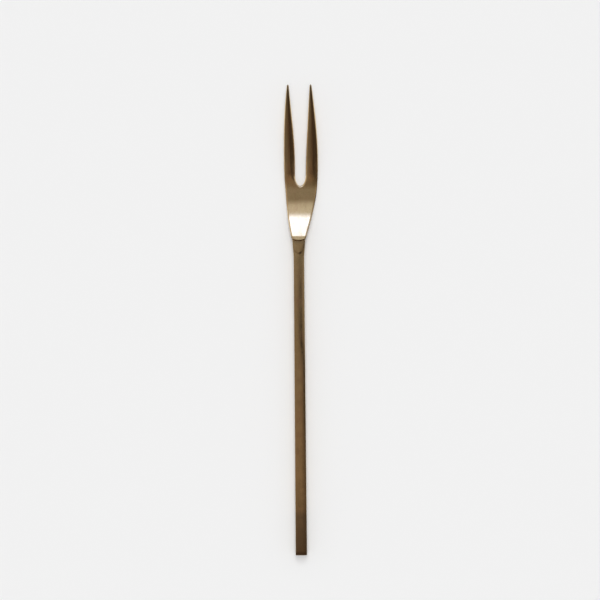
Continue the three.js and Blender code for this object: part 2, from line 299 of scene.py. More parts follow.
class ForkShape:
    """Outline and profile of the fork, by the distance from its butt."""

    edge_samples = 400
    root_samples = 90

    def __init__(self, fork):
        self.head = head = fork.head
        self.handle = handle = fork.handle
        self.braze = fork.braze
        self.tail = handle.bar_length
        self.land_end = self.tail + head.tail_bow + head.tail_land
        self.lap_end = self.tail + handle.lap_length
        self.dip_end = self.lap_end + head.dip_length
        self.root = self.tail + head.palm_length
        self.slot_straight = self.root + head.slot_root_length
        self.widest = self.root + head.widest_past_root
        self.tip = self.root + head.tine_length
        self.flare = self.tail - handle.flare_length
        self.grade = math.tan(head.palm_slope)
        half = head.tail_width / 2
        self.tail_radius = (half**2 + head.tail_bow**2) / (2 * head.tail_bow)

    def outer_edge(self, y):
        head = self.head
        tail, wide, tip = head.tail_width / 2, head.head_width / 2, head.tip_across / 2
        behind = ease(y, self.tail, self.widest, tail, wide, math.tan(head.neck_angle))
        ahead = ease(y, self.widest, self.tip, wide, tip, 0, -math.tan(head.outer_tip_angle))
        return np.where(y < self.widest, behind, ahead)

    def inner_edge(self, y):
        head = self.head
        half, tip = head.slot_width / 2, head.tip_gap / 2
        root = half * round_end(np.maximum(y - self.root, 0), head.slot_root_length)
        lean = math.tan(head.inner_tip_angle)
        return np.where(
            y < self.slot_straight, root, ease(y, self.slot_straight, self.tip, half, tip, 0, lean)
        )

    def half_span(self, y):
        """Inner and outer edge of one half of the head, brought together at the tip."""
        inner, outer = self.inner_edge(y), self.outer_edge(y)
        middle = (inner + outer) / 2
        narrowed = (outer - inner) / 2 * round_end(self.tip - y, self.head.tip_round)
        half = np.maximum(self.head.tip_flat / 2, narrowed)
        return middle - half, middle + half

    def underside(self, y):
        head = self.head
        back = np.maximum(0, self.dip_end - y)
        past = np.maximum(0, y - self.root + head.lift_behind_root)
        beyond = np.maximum(0, past - head.lift_length)
        fall = climb(back, self.grade, head.dip_length)
        rise = climb(past, math.tan(head.tine_lift), head.lift_length)
        return fall + rise + beyond**2 / (2 * head.tine_radius)

    def thickness(self, y):
        head = self.head
        palm = ease(y, self.tail, self.lap_end, head.tail_thickness, head.palm_thickness)
        thinning = climb(np.maximum(0, y - self.root), 1, head.thinning_curve)
        whole = head.tine_length - head.thinning_curve / 2
        return palm + (head.tip_thickness - head.palm_thickness) * thinning / whole

    def sideways(self, y):
        head = self.head
        out = head.head_set * smooth(y, self.tail, self.root)
        return out - head.tip_return * smooth(y, self.widest, self.tip)

    def slot_sideways(self, y):
        """Off the middle of the head, for the edges of the slot."""
        shift = -self.head.slot_set * smooth(y, self.lap_end, self.root)
        return shift * (1 - smooth(y, self.root, self.root + self.head.slot_set_fade))

    def tail_end(self, from_axis, margin=0.0):
        """How far the round tail end lies ahead of its foremost point."""
        radius = self.tail_radius + margin
        x = np.minimum(np.abs(from_axis), self.head.tail_width / 2)
        return radius - np.sqrt(radius**2 - x**2)

    def seat(self, y):
        """Height of the sloping seat that the tail is brazed onto."""
        return self.grade * (self.lap_end + self.head.dip_length / 2 - y)

    def outline(self):
        """Sides of one half of the head, and the edge of its tail, as lines of points."""

        def line(stations, edge):
            return np.stack([edge(stations), stations], 1)

        n = self.edge_samples
        half = np.linspace(0, self.head.tail_width / 2, self.root_samples)
        root = crowded(self.root, self.slot_straight, self.root_samples)
        tail_corner = self.tail + self.head.tail_bow
        sides = [
            line(np.linspace(tail_corner, self.tip, n), lambda y: self.half_span(y)[1]),
            line(np.linspace(self.slot_straight, self.tip, n), lambda y: self.half_span(y)[0]),
            line(root, self.inner_edge),
        ]
        return sides, np.stack([half, self.tail + self.tail_end(half)], 1)


# Head


class HeadSurface:
    """Rows of points across one half of the head, above and below, inner edge first."""

    across = 36
    # Most that a rounding takes of the thickness or the width, and the least edge that it leaves
    upper_limit = 0.45
    lower_limit = 0.33
    width_limit = 0.2
    least_edge = 0.4
    wear_reach = 0.0006

    def __init__(self, shape):
        head = shape.head
        stations = self.stations(shape)[:, None]
        inner, outer = shape.half_span(stations)
        fraction = (1 - np.cos(np.linspace(0, math.pi, self.across + 1))) / 2
        x = inner + (outer - inner) * fraction
        bow = np.clip((shape.land_end - stations) / (shape.land_end - shape.tail), 0, 1)
        y = stations + bow * (shape.tail_end(x) + shape.braze.clearance)
        sides, tail = shape.outline()
        flat = np.stack([x.ravel(), y.ravel()], 1)
        from_side = np.min([distance_to(line, flat) for line in sides], axis=0).reshape(x.shape)
        from_tail = distance_to(tail, flat).reshape(x.shape)
        low = shape.underside(y)
        thick = shape.thickness(y)
        crown = head.tine_crown * smooth(y, shape.root, shape.root + head.crown_fade)
        palm = head.palm_crown * smooth(y, shape.tail, shape.lap_end)
        palm = palm * (1 - smooth(y, shape.root, shape.slot_straight))
        drop = head.tail_land_drop * bow + crown * (2 * fraction - 1) ** 2 + palm * (x / outer) ** 2
        slope = math.tan(head.edge_angle)
        upper = np.minimum(head.edge_round, self.upper_limit * thick)
        upper = np.minimum(upper, self.width_limit * (outer - inner))
        round_tail = edge_loss(from_tail, upper, math.tan(head.tail_angle))
        drop = drop + np.maximum(edge_loss(from_side, upper, slope), round_tail)
        lower = np.minimum(head.under_round, self.lower_limit * thick)
        lift = edge_loss(from_side, lower * smooth(y, shape.lap_end, shape.dip_end), slope)
        top = low + np.maximum(thick - drop, self.least_edge * thick)
        self.top = np.stack([x, y, top], 2)
        self.under = np.stack([x, y, low + lift], 2)
        self.slide = shape.slot_sideways(y) * (1 - fraction)
        # Painted shade towards the tips, which also keeps the lighter rubbed edges off them
        self.tip_shade = smooth(y, shape.tip - head.tip_shade_length, shape.tip)
        self.wear = (1 - smooth(from_side, 0, self.wear_reach)) * (1 - self.tip_shade)
        self.root_row = int(np.argmax(stations[:, 0] >= shape.root - 1e-9))

    @staticmethod
    def stations(shape):
        rim = shape.root - shape.head.edge_round
        tip_start = shape.tip - shape.head.tip_round
        return np.concatenate(
            [
                crowded(shape.tail, shape.land_end, 14),
                even(shape.land_end, shape.lap_end, 18),
                even(shape.lap_end, shape.dip_end, 20),
                even(shape.dip_end, rim, 20),
                crowded(shape.root, rim, 12)[:0:-1],
                crowded(shape.root, shape.slot_straight, 28),
                even(shape.slot_straight, tip_start, 70),
                crowded(shape.tip, tip_start, 14)[::-1],
            ]
        )


def half_faces(rows, columns, root_row, offset, turned):
    """Quads of one half of the head: both faces, its walls, its tail end and its tip."""
    top = offset + np.arange(rows * columns).reshape(rows, columns)
    under = top + rows * columns

    slot_top, slot_under = top[root_row:, 0], under[root_row:, 0]

    def grid(a, b, c, d):
        return np.stack([a, b, c, d], -1).reshape(-1, 4)

    quads = np.concatenate(
        [
            grid(top[:-1, :-1], top[:-1, 1:], top[1:, 1:], top[1:, :-1]),
            grid(under[:-1, 1:], under[:-1, :-1], under[1:, :-1], under[1:, 1:]),
            grid(under[:-1, -1], under[1:, -1], top[1:, -1], top[:-1, -1]),
            grid(slot_under[1:], slot_under[:-1], slot_top[:-1], slot_top[1:]),
            grid(under[0, :-1], under[0, 1:], top[0, 1:], top[0, :-1]),
            grid(under[-1, 1:], under[-1, :-1], top[-1, :-1], top[-1, 1:]),
        ]
    )
    return quads[:, ::-1] if turned else quads


def head_mesh(shape):
    surface = HeadSurface(shape)
    rows, columns = surface.top.shape[:2]
    points, quads = [], []
    for side in (1, -1):
        offset = len(points) * rows * columns
        quads.append(half_faces(rows, columns, surface.root_row, offset, side < 0))
        for face in (surface.top, surface.under):
            y = face[..., 1]
            x = side * face[..., 0] + shape.sideways(y) + surface.slide
            points.append(np.stack([x, y + butt_place, face[..., 2]], -1).reshape(-1, 3))
    mesh = bpy.data.meshes.new("fork_head_fine")
    mesh.from_pydata(np.concatenate(points).tolist(), [], np.concatenate(quads).tolist())
    wear = [surface.wear.ravel(), np.zeros(rows * columns)] * 2
    tip_shade = [surface.tip_shade.ravel()] * 4
    # edge_wear marks rubbed edges; the second attribute holds painted shade
    for name, values in (("edge_wear", wear), ("painted_shade", tip_shade)):
        attribute = mesh.attributes.new(name, "FLOAT", "POINT")
        attribute.data.foreach_set("value", np.concatenate(values).astype(np.float32))
    weld(mesh)
    return mesh


def weld(mesh, reach=1e-7):
    work = bmesh.new()
    work.from_mesh(mesh)
    bmesh.ops.remove_doubles(work, verts=work.verts, dist=reach)
    bmesh.ops.recalc_face_normals(work, faces=work.faces)
    work.to_mesh(mesh)
    work.free()


def shade(mesh, sharp_angle=math.radians(40)):
    mesh.shade_smooth()
    mesh.set_sharp_from_angle(angle=sharp_angle)


# Node trees


class Field:
    """A value in a node tree. Sums and products of fields become Math nodes."""

    def __init__(self, tree, socket):
        self.tree = tree
        self.socket = socket

    def __add__(self, other):
        return calc(self.tree, "ADD", self, other)

    def __sub__(self, other):
        return calc(self.tree, "SUBTRACT", self, other)

    def __rsub__(self, other):
        return calc(self.tree, "SUBTRACT", other, self)

    def __mul__(self, other):
        return calc(self.tree, "MULTIPLY", self, other)

    def __truediv__(self, other):
        return calc(self.tree, "DIVIDE", self, other)


def feed(tree, socket, value):
    if isinstance(value, Field):
        value = value.socket
    if isinstance(value, bpy.types.NodeSocket):
        tree.links.new(value, socket)
    else:
        socket.default_value = value


def add_node(tree, kind, inputs=(), **settings):
    node = tree.nodes.new(kind)
    for name, value in settings.items():
        setattr(node, name, value)
    for key, value in dict(inputs).items():
        feed(tree, node.inputs[key], value)
    return node


def calc(tree, operation, *values):
    node = add_node(tree, "ShaderNodeMath", enumerate(values), operation=operation)
    return Field(tree, node.outputs[0])


def ramp(tree, value, start, end, low=0.0, high=1.0, kind="LINEAR"):
    settings = {"Value": value, "From Min": start, "From Max": end, "To Min": low, "To Max": high}
    node = add_node(tree, "ShaderNodeMapRange", settings, interpolation_type=kind)
    return Field(tree, node.outputs["Result"])


def smooth_ramp(tree, value, start, end, low=0.0, high=1.0):
    return ramp(tree, value, start, end, low, high, "SMOOTHSTEP")


def blend_colour(tree, factor, a, b, mode="MIX"):
    inputs = {0: factor, 6: a, 7: b}
    node = add_node(tree, "ShaderNodeMix", inputs, data_type="RGBA", blend_type=mode)
    return node.outputs[2]


def rgba(colour):
    return (*colour, 1.0)


def new_group(name, kind, inputs, outputs):
    """An empty node group with named sockets, its input fields and its output node."""
    tree = bpy.data.node_groups.new(name, kind)
    for direction, sockets in (("INPUT", inputs), ("OUTPUT", outputs)):
        for socket_name, socket_kind in sockets:
            tree.interface.new_socket(
                name=socket_name, in_out=direction, socket_type="NodeSocket" + socket_kind
            )
    start = tree.nodes.new("NodeGroupInput")
    fields = {name: Field(tree, start.outputs[name]) for name, _ in inputs}
    return tree, fields, tree.nodes.new("NodeGroupOutput")


def run_tree(tree, source, values, name):
    """The plain mesh that a Geometry Nodes tree makes of a source object."""
    identifiers = {
        item.name: item.identifier
        for item in tree.interface.items_tree
        if item.item_type == "SOCKET" and item.in_out == "INPUT"
    }
    modifier = source.modifiers.new(tree.name, "NODES")
    modifier.node_group = tree
    for key, value in values.items():
        modifier[identifiers[key]] = value
    bpy.context.view_layer.update()
    graph = bpy.context.evaluated_depsgraph_get()
    mesh = bpy.data.meshes.new_from_object(source.evaluated_get(graph), depsgraph=graph)
    mesh.name = name
    source.modifiers.remove(modifier)
    if not mesh.polygons:
        raise RuntimeError(f"{tree.name} made no faces")
    return mesh


def path_object(name, points, closed=False):
    """A chain of edges through points, for a tree to sweep along."""
    last = len(points) if closed else len(points) - 1
    edges = [(i, (i + 1) % len(points)) for i in range(last)]
    mesh = bpy.data.meshes.new(name)
    mesh.from_pydata(points, edges, [])
    path = bpy.data.objects.new(name, mesh)
    bpy.context.scene.collection.objects.link(path)
    return path


def finish_tree(tree, geometry, material, output):
    placed = add_node(tree, "GeometryNodeSetMaterial", {"Geometry": geometry, "Material": material})
    whole = add_node(tree, "GeometryNodeRealizeInstances", {0: placed.outputs[0]})
    feed(tree, output.inputs[0], whole.outputs[0])


# Handle bar


BAR_SIZES = (
    "Butt", "Tail", "Flare", "Lap end", "Butt width", "Neck width", "Tail width", "Butt height",
    "Neck height", "Crown", "Lean", "Lean start", "Lean full", "Wash length", "Wash depth",
    "Butt shade length", "Arris", "Butt rounding", "Tongue rounding", "Seat radius", "Film", "Grade",
    "Seat foot",
)

# Metres: the step down onto the seat, the soft edge of the wash, and the painted shade behind the
# tail
SEAT_STEP = 2e-6
WASH_FADE = 0.0008
SEAM_SHADE = (0.0011, 0.0003)

# Shares of the bar's width, height or lengths
SIDE_FLAT = 0.12
ARRIS_WEAR = (0.27, 0.43)
TOP_EDGE = (0.3, 0.45)
BUTT_SHADE_FADE = (1.12, 0.88)
WASH_BOW = 1.3

# Depths of painted shade, where 1 is the shade colour in full
SEAM_SHADE_DEPTH = 0.7
WASH_EDGE_SHADE = 0.6

SIDE_CUTS = 15


def bar_sweep_tree():
    """A rounded square swept along the bar's axis, flared, scarfed and rounded at both ends."""
    inputs = [("Axis", "Geometry"), *((name, "Float") for name in BAR_SIZES)]
    inputs += [("Corner steps", "Int"), ("Material", "Material")]
    tree, size, output = new_group(
        "fork_bar_sweep", "GeometryNodeTree", inputs, [("Bar", "Geometry")]
    )
    profile = add_node(tree, "GeometryNodeCurvePrimitiveQuadrilateral", {"Width": 1.0, "Height": 1.0})
    cuts = {"Curve": profile.outputs[0], "Cuts": SIDE_CUTS}
    cut = add_node(tree, "GeometryNodeSubdivideCurve", cuts)
    corner = {
        "Curve": cut.outputs[0],
        "Count": size["Corner steps"],
        "Radius": size["Arris"] / size["Butt width"],
    }
    rounded = add_node(tree, "GeometryNodeFilletCurve", corner, mode="POLY")
    axis = add_node(tree, "GeometryNodeMeshToCurve", {0: size["Axis"]})
    upright = add_node(tree, "GeometryNodeSetCurveNormal", {0: axis.outputs[0]}, mode="Z_UP")
    sweep = {"Curve": upright.outputs[0], "Profile Curve": rounded.outputs[0], "Fill Caps": True}
    skin = add_node(tree, "GeometryNodeCurveToMesh", sweep)

    place = add_node(tree, "GeometryNodeInputPosition")
    parts = add_node(tree, "ShaderNodeSeparateXYZ", {0: place.outputs[0]})
    x, y, z = (Field(tree, socket) for socket in parts.outputs)
    x = calc(tree, "MAXIMUM", calc(tree, "MINIMUM", x * (1.0 + SIDE_FLAT), 0.5), -0.5)
    nearest_corner = calc(tree, "MINIMUM", calc(tree, "ABSOLUTE", x), calc(tree, "ABSOLUTE", z))
    wear = smooth_ramp(tree, nearest_corner, *ARRIS_WEAR)
    marked = add_node(
        tree,
        "GeometryNodeStoreNamedAttribute",
        {"Geometry": skin.outputs[0], "Name": "edge_wear", "Value": wear},
        data_type="FLOAT",
    )
    # Painted shade: darker over the butt's last stretch, in a band behind the tail end and in a thin
    # line along the wash's edge
    butt_shade_edges = [size["Butt shade length"] * part for part in BUTT_SHADE_FADE]
    # Painted shade on the butt's last stretch
    painted_shade = smooth_ramp(tree, y - size["Butt"], *butt_shade_edges)
    # Painted shade in a band just behind the tail end, where the joint is shaded
    painted_shade = painted_shade + smooth_ramp(tree, size["Tail"] - y, *SEAM_SHADE) * SEAM_SHADE_DEPTH
    wash_edge = size["Tail"] - size["Wash length"] + x * x * size["Wash length"] * WASH_BOW
    washed = smooth_ramp(tree, y - wash_edge, 0.0, WASH_FADE)
    # Painted shade in a thin line along the wash's edge, where its small step is shaded
    wash_shade_line = washed * (1.0 - washed) * 4.0 * smooth_ramp(tree, z, *TOP_EDGE)
    painted_shade = painted_shade + wash_shade_line * WASH_EDGE_SHADE
    marked = add_node(
        tree,
        "GeometryNodeStoreNamedAttribute",
        {"Geometry": marked.outputs[0], "Name": "painted_shade", "Value": painted_shade},
        data_type="FLOAT",
    )

    plain = ramp(tree, y, size["Butt"], size["Flare"], size["Butt width"], size["Neck width"])
    spread = size["Tail width"] - size["Neck width"]
    flared = plain + spread * smooth_ramp(tree, y, size["Flare"], size["Tail"])
    tongue = ramp(tree, size["Lap end"] - y, 0.0, size["Tongue rounding"], 1.0, 0.0)
    tongue = calc(tree, "SQRT", 1.0 - tongue * tongue)
    butt = ramp(tree, y - size["Butt"], 0.0, size["Butt rounding"], 1.0, 0.0)
    inset = size["Butt rounding"] * (1.0 - calc(tree, "SQRT", 1.0 - butt * butt)) * 2.0
    height = ramp(tree, y, size["Butt"], size["Tail"], size["Butt height"], size["Neck height"])
    wide_x = x * (flared * tongue - inset)
    tall_z = z * (height - inset) + height * 0.5

    radius = size["Seat radius"]
    arc = radius - calc(tree, "SQRT", radius * radius - wide_x * wide_x)
    seat_start = size["Tail"] - size["Film"]
    behind = smooth_ramp(tree, y, size["Flare"], seat_start)
    ahead = smooth_ramp(tree, y, seat_start, size["Lap end"] - size["Tongue rounding"], 1.0, 0.0)
    bowed_y = y + arc * behind * ahead
    seat = size["Grade"] * (size["Seat foot"] - bowed_y) - size["Film"]
    scarfed = calc(tree, "GREATER_THAN", y, seat_start + SEAT_STEP / 2)
    cut_z = calc(tree, "MINIMUM", tall_z, seat)
    lean = size["Lean"] * smooth_ramp(tree, y, size["Lean start"], size["Lean full"])
    lean = lean * smooth_ramp(tree, y, size["Tail"], size["Flare"])
    crown = (1.0 - x * x * 4.0) * size["Crown"] - wide_x * lean + size["Wash depth"] * washed
    crown = crown * calc(tree, "GREATER_THAN", z, 0.0)
    final_z = tall_z + crown + (cut_z - tall_z - crown) * scarfed
    moved = add_node(tree, "ShaderNodeCombineXYZ", {"X": wide_x, "Y": bowed_y, "Z": final_z})
    shaped = add_node(
        tree,
        "GeometryNodeSetPosition",
        {"Geometry": marked.outputs[0], "Position": moved.outputs[0]},
    )
    finish_tree(tree, shaped.outputs[0], size["Material"], output)
    return tree


def bar_stations(shape):
    handle = shape.handle
    seat_start = shape.tail - shape.braze.film
    tongue_start = shape.lap_end - handle.tongue_round
    return np.concatenate(
        [
            crowded(0, handle.butt_bevel, 8),
            even(handle.butt_bevel, 2 * handle.butt_shade_length, 30),
            even(2 * handle.butt_shade_length, shape.flare, 34),
            even(shape.flare, seat_start, 60),
            [seat_start, seat_start + SEAT_STEP],
            even(seat_start + SEAT_STEP, tongue_start, 8)[1:],
            crowded(shape.lap_end, tongue_start, 24)[:0:-1],
        ]
    )


def bar_mesh(shape, material):
    head, handle, braze = shape.head, shape.handle, shape.braze
    axis = path_object("bar_axis", [(0, y + butt_place, 0) for y in bar_stations(shape)])
    values = {
        "Butt": butt_place,
        "Tail": shape.tail + butt_place,
        "Flare": shape.flare + butt_place,
        "Lap end": shape.lap_end + butt_place,
        "Butt width": handle.butt_width,
        "Neck width": handle.neck_width,
        "Tail width": head.tail_width,
        "Butt height": handle.butt_height,
        "Neck height": handle.neck_height,
        "Crown": handle.crown,
        "Lean": handle.lean,
        "Lean start": handle.lean_start + butt_place,
        "Lean full": handle.lean_full + butt_place,
        "Wash length": handle.wash_length,
        "Wash depth": handle.wash_depth,
        "Butt shade length": handle.butt_shade_length,
        "Arris": handle.arris_radius,
        "Butt rounding": handle.butt_bevel,
        "Tongue rounding": handle.tongue_round,
        "Seat radius": shape.tail_radius + braze.film,
        "Film": braze.film,
        "Grade": shape.grade,
        "Seat foot": shape.lap_end + head.dip_length / 2 + butt_place,
        "Corner steps": handle.corner_steps,
        "Material": material,
    }
    mesh = run_tree(bar_sweep_tree(), axis, values, "handle_bar_fine")
    bpy.data.objects.remove(axis)
    weld(mesh)
    shade(mesh)
    # The flat ends keep a crisp edge
    for polygon in mesh.polygons:
        if polygon.loop_total > 4:
            for loop in polygon.loop_indices:
                mesh.edges[mesh.loops[loop].edge_index].use_edge_sharp = True
    return mesh


# Braze


def seam_points(shape):
    """The seam as a closed line: round the tail end on top, and along the seat below."""
    head, handle, braze = shape.head, shape.handle, shape.braze
    half = head.tail_width / 2
    top = handle.neck_height - braze.bead_sink
    arc_x = half * np.sin(np.linspace(-math.pi / 2, math.pi / 2, 41))
    arc_y = shape.tail + shape.tail_end(arc_x) - braze.film / 2
    arc_z = top - edge_loss(half - np.abs(arc_x), handle.arris_radius, 1.0)
    arc = list(zip(arc_x, arc_y, arc_z))
    tongue = handle.tongue_round
    tongue_start = shape.lap_end - tongue
    corner = shape.tail + head.tail_bow
    straight = [(half, y) for y in np.linspace(corner, tongue_start, 14)]
    bend = np.linspace(0, math.pi / 2, 22)[1:]
    rounded = [(half * math.cos(a), tongue_start + tongue * math.sin(a)) for a in bend]
    right = [(x, y, shape.seat(y) - braze.film / 2) for x, y in straight + rounded]
    left = [(-x, y, z) for x, y, z in right[-2::-1]]
    return [(x, y + butt_place, z) for x, y, z in arc + right + left]


BEAD_STEPS = 360
BEAD_SIDES = 14
SWELLS_PER_METRE = 900.0
SWELL_MIDDLE = 0.3


def bead_tree():
    """A bead that follows a seam, swelling and thinning a little as filed braze does."""
    inputs = [
        ("Seam", "Geometry"),
        ("Radius", "Float"),
        ("Unevenness", "Float"),
        ("Seed", "Float"),
        ("Material", "Material"),
    ]
    tree, size, output = new_group(
        "fork_braze_bead", "GeometryNodeTree", inputs, [("Bead", "Geometry")]
    )
    seam = add_node(tree, "GeometryNodeMeshToCurve", {0: size["Seam"]})
    steps = {"Curve": seam.outputs[0], "Count": BEAD_STEPS}
    close = add_node(tree, "GeometryNodeResampleCurve", steps)
    place = add_node(tree, "GeometryNodeInputPosition")
    swell = add_node(
        tree,
        "ShaderNodeTexNoise",
        {"Vector": place.outputs[0], "W": size["Seed"], "Scale": SWELLS_PER_METRE, "Detail": 2.0},
        noise_dimensions="4D",
    )
    uneven = 1.0 - size["Unevenness"] * (Field(tree, swell.outputs[0]) - SWELL_MIDDLE)
    thick = add_node(
        tree,
        "GeometryNodeSetCurveRadius",
        {"Curve": close.outputs[0], "Radius": size["Radius"] * uneven},
    )
    circle = add_node(
        tree, "GeometryNodeCurvePrimitiveCircle", {"Resolution": BEAD_SIDES, "Radius": 1.0}
    )
    radius = add_node(tree, "GeometryNodeInputRadius")
    sweep = {
        "Curve": thick.outputs[0],
        "Profile Curve": circle.outputs[0],
        "Scale": radius.outputs[0],
    }
    bead = add_node(tree, "GeometryNodeCurveToMesh", sweep)
    finish_tree(tree, bead.outputs[0], size["Material"], output)
    return tree


def bead_mesh(shape, material):
    braze = shape.braze
    seam = path_object("braze_seam", seam_points(shape), closed=True)
    values = {
        "Radius": braze.bead_radius,
        "Unevenness": braze.bead_unevenness,
        "Seed": float(braze.bead_seed),
        "Material": material,
    }
    mesh = run_tree(bead_tree(), seam, values, "braze_bead")
    bpy.data.objects.remove(seam)
    weld(mesh)
    shade(mesh)
    return mesh


# Finishes


# Features per metre. Three numbers run across, along and up the fork
FINE_LINES = (9000, 140, 9000)
BROAD_LINES = (2600, 60, 2600)
HAND_WAVES = (520, 34, 520)
STREAKS = (1500, 55, 1500)
BLOTCHES = 260.0
SPECKS = 2400.0
FLUSHES = 110.0
SCRATCH_PATCHES = 420.0
TABLE_GRAIN = 700.0

# Levels of a noise between which a mask comes in
FILM_LEVELS = (0.38, 0.7)
FLUSH_LEVELS = (0.42, 0.6)
PATCH_LEVELS = (0.5, 0.62)
NOISE_LEVELS = (0.3, 0.7)

# Shares of the aged film that rubbing takes off, of worn colour on rubbed edges, and of the
# painted shade colour where the shade is thinnest
RUBBED_OFF = 0.7
WORN_SHARE = 0.25
THIN_SHADE = 0.75

# Turn and offset of each set of scratches, their stretch, and half their width in the noise
SCRATCH_SETS = ((0.35, 0.0), (-0.6, 0.31))
SCRATCH_STRETCH = (1.0, 0.06, 1.0)
SCRATCH_WIDTH = 0.006

# What lines, film and scratches add to the roughness
LINE_ROUGHNESS = 0.04
FILM_ROUGHNESS = 0.12
SCRATCH_ROUGHNESS = 0.06

# Metres for each unit of bump, and the depth of a scratch in those units
BUMP_UNIT = 1e-5
SCRATCH_DEPTH = 0.04


def shader_group(name, inputs, outputs):
    return new_group(name, "ShaderNodeTree", inputs, outputs)


def stretched(tree, vector, scale):
    node = add_node(tree, "ShaderNodeMapping", {"Vector": vector, "Scale": scale})
    return node.outputs[0]


def noise(tree, vector, scale, detail=2.0, roughness=0.5):
    inputs = {"Vector": vector, "Scale": scale, "Detail": detail, "Roughness": roughness}
    return Field(tree, add_node(tree, "ShaderNodeTexNoise", inputs).outputs[0])


def polish_lines_group():
    """Fine lines left by polishing along the fork, and the shallow waves under them."""
    tree, size, output = shader_group(
        "fork_polish_lines",
        [("Vector", "Vector"), ("Line depth", "Float"), ("Wave depth", "Float")],
        [("Height", "Float"), ("Lines", "Float")],
    )
    vector = size["Vector"]
    fine = noise(tree, stretched(tree, vector, FINE_LINES), 1.0, 3.0, 0.6)
    broad = noise(tree, stretched(tree, vector, BROAD_LINES), 1.0, 1.0)
    wave = noise(tree, stretched(tree, vector, HAND_WAVES), 1.0, 0.0)
    lines = fine * 0.6 + broad * 0.4
    feed(tree, output.inputs["Height"], lines * size["Line depth"] + wave * size["Wave depth"])
    feed(tree, output.inputs["Lines"], lines)
    return tree


def patina_group():
    """Polished, tarnished and rubbed brass in soft blotches, with painted shade laid on where asked.
    """
    tree, size, output = shader_group(
        "fork_patina",
        [
            ("Vector", "Vector"),
            ("Polished", "Color"),
            ("Tarnished", "Color"),
            ("Flushed", "Color"),
            ("Shade colour", "Color"),
            ("Worn", "Color"),
            ("Tarnish", "Float"),
            ("Age", "Float"),
            ("Wear", "Float"),
        ],
        [("Color", "Color"), ("Tarnish", "Float")],
    )
    vector = size["Vector"]
    blotch = noise(tree, vector, BLOTCHES, 4.0, 0.6)
    speck = noise(tree, vector, SPECKS, 2.0, 0.7)
    streak = noise(tree, stretched(tree, vector, STREAKS), 1.0, 2.0)
    cover = smooth_ramp(tree, blotch * 0.6 + streak * 0.2 + speck * 0.2, *FILM_LEVELS)
    cover = cover * size["Tarnish"] * (1.0 - size["Wear"] * RUBBED_OFF)
    flush = noise(tree, vector, FLUSHES, 2.0) * 0.75 + streak * 0.25
    flush = smooth_ramp(tree, flush, *FLUSH_LEVELS)
    film = blend_colour(tree, flush, size["Tarnished"], size["Flushed"])
    filmed = blend_colour(tree, cover, size["Polished"], film)
    # Painted shade, a little thinner where the blotch noise is low
    shade_amount = size["Age"] * ramp(tree, blotch, *NOISE_LEVELS, THIN_SHADE, 1.0)
    shaded = blend_colour(tree, shade_amount, filmed, size["Shade colour"])
    rubbed = blend_colour(tree, size["Wear"] * WORN_SHARE, shaded, size["Worn"])
    feed(tree, output.inputs["Color"], rubbed)
    feed(tree, output.inputs["Tarnish"], cover)
    return tree


def scratch_group():
    """Thin stray scratches that cross the polishing lines at two slants."""
    tree, size, output = shader_group(
        "fork_scratches", [("Vector", "Vector"), ("Scale", "Float")], [("Scratches", "Float")]
    )
    total = None
    for turn, offset in SCRATCH_SETS:
        turned = add_node(
            tree,
            "ShaderNodeMapping",
            {"Vector": size["Vector"], "Rotation": (0, 0, turn), "Location": (offset, 0, 0)},
        )
        grain = stretched(tree, turned.outputs[0], SCRATCH_STRETCH)
        lane = noise(tree, grain, size["Scale"], 1.0)
        line = calc(tree, "ABSOLUTE", lane - 0.5)
        mark = smooth_ramp(tree, line, SCRATCH_WIDTH, 0.0)
        where = noise(tree, turned.outputs[0], SCRATCH_PATCHES, 0.0)
        mark = mark * smooth_ramp(tree, where, *PATCH_LEVELS)
        total = mark if total is None else total + mark
    feed(tree, output.inputs["Scratches"], calc(tree, "MINIMUM", total, 1.0))
    return tree


def shared_group(name, make):
    return bpy.data.node_groups.get(name) or make()


